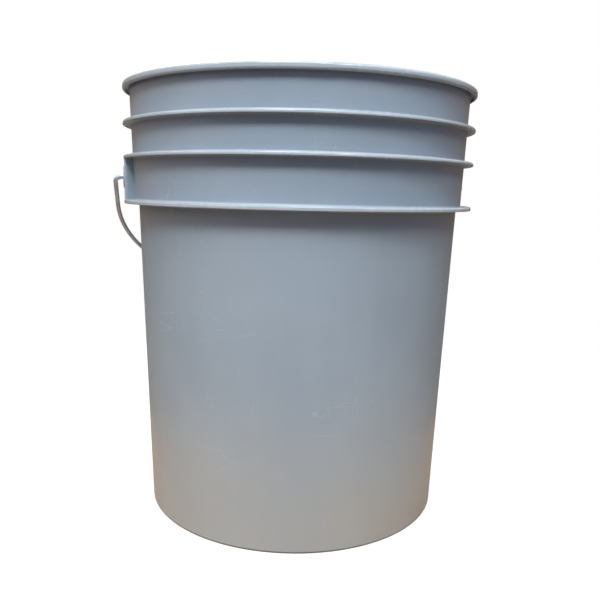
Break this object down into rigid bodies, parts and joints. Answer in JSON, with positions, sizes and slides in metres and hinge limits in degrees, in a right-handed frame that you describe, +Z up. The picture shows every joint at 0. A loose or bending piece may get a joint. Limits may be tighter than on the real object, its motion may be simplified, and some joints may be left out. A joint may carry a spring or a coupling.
{
  "type": "open-head pail",
  "caption": "Straight-sided open-head plastic pail with a rolled rim, stiffening rings, side ears, and a swinging wire bail with a loose round grip.",
  "frame": {"origin": "centre of the foot ring, on the ground plane", "axes": "+Z up the pail's axis to its open mouth; the bail's ears lie on +X and -X; at rest the bail hangs down the +Y side"},
  "size_m": [0.3236, 0.3184, 0.365],
  "materials": {
    "pail_plastic": "satin moulded polyethylene, blue-grey",
    "bail_steel": "bright galvanised wire",
    "grip_plastic": "satin moulded polyethylene, blue-grey"
  },
  "bodies": {
    "pail": {"pail_body": "pail_plastic"},
    "bail": {"bail_wire": "bail_steel"},
    "grip": {"bail_grip": "grip_plastic"}
  },
  "joints": [
    {"name": "bail_swing", "type": "hinge", "parent": "pail", "child": "bail", "pos_m": [0, 0, 0.2885], "axis": [1, 0, 0], "range_deg": [0, 250.7]},
    {"name": "grip_spin", "type": "hinge", "parent": "bail", "child": "grip", "pos_m": [0, 0.15158, 0.18084], "axis": [1, 0, 0], "continuous": true}
  ]
}
